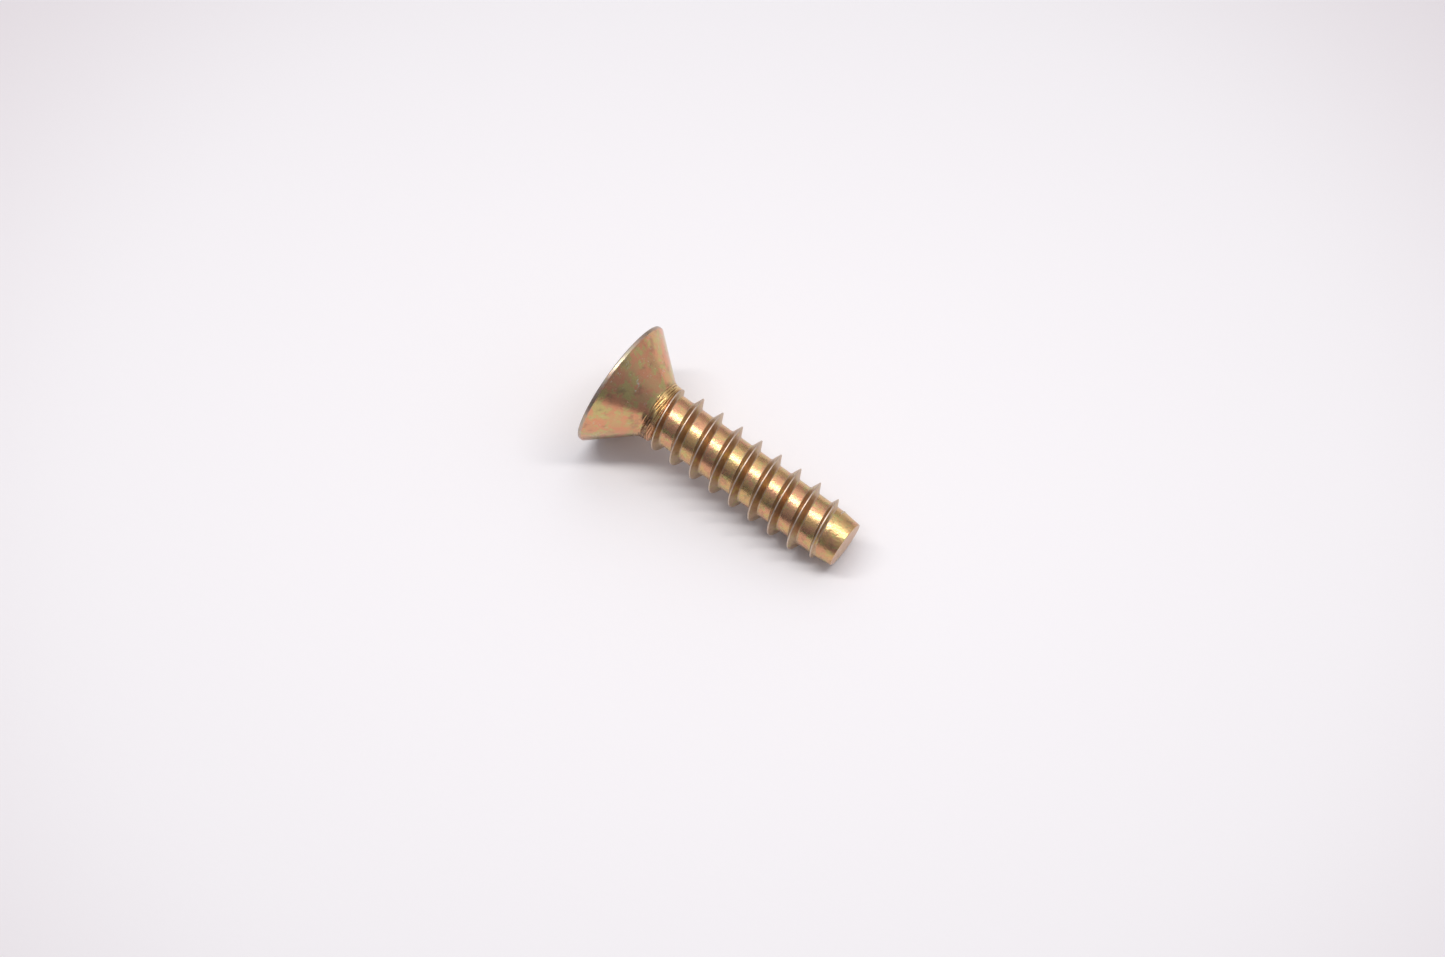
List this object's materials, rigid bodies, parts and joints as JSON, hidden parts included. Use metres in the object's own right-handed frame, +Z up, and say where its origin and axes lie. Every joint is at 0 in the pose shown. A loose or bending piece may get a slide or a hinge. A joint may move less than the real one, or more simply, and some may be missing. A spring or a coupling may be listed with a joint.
{
  "type": "countersunk tapping screw",
  "caption": "Flat-head countersunk screw with a cross recess, a coarse right-hand thread and a blunt tapered point, in yellow-zinc plated steel.",
  "frame": {"origin": "on the floor under the middle of the screw as it lies at rest, on its head's rim and one thread crest", "axes": "+X runs along the lying screw from head to point, whose axis dips 8.12 degrees below +X; +Y across it; +Z up"},
  "size_m": [0.0192, 0.0092, 0.009],
  "materials": {
    "head_plating": "yellow-zinc passivated steel, satin, mottled olive, salmon and green",
    "shank_plating": "yellow-zinc passivated steel, bright gold, rolled smooth",
    "thread_plating": "yellow-zinc passivated steel, bright, worn silvery on the crests"
  },
  "bodies": {
    "root": {"head": "head_plating", "neck": "shank_plating", "shank_core": "shank_plating", "thread": "thread_plating", "blunt_point": "shank_plating"}
  },
  "joints": []
}
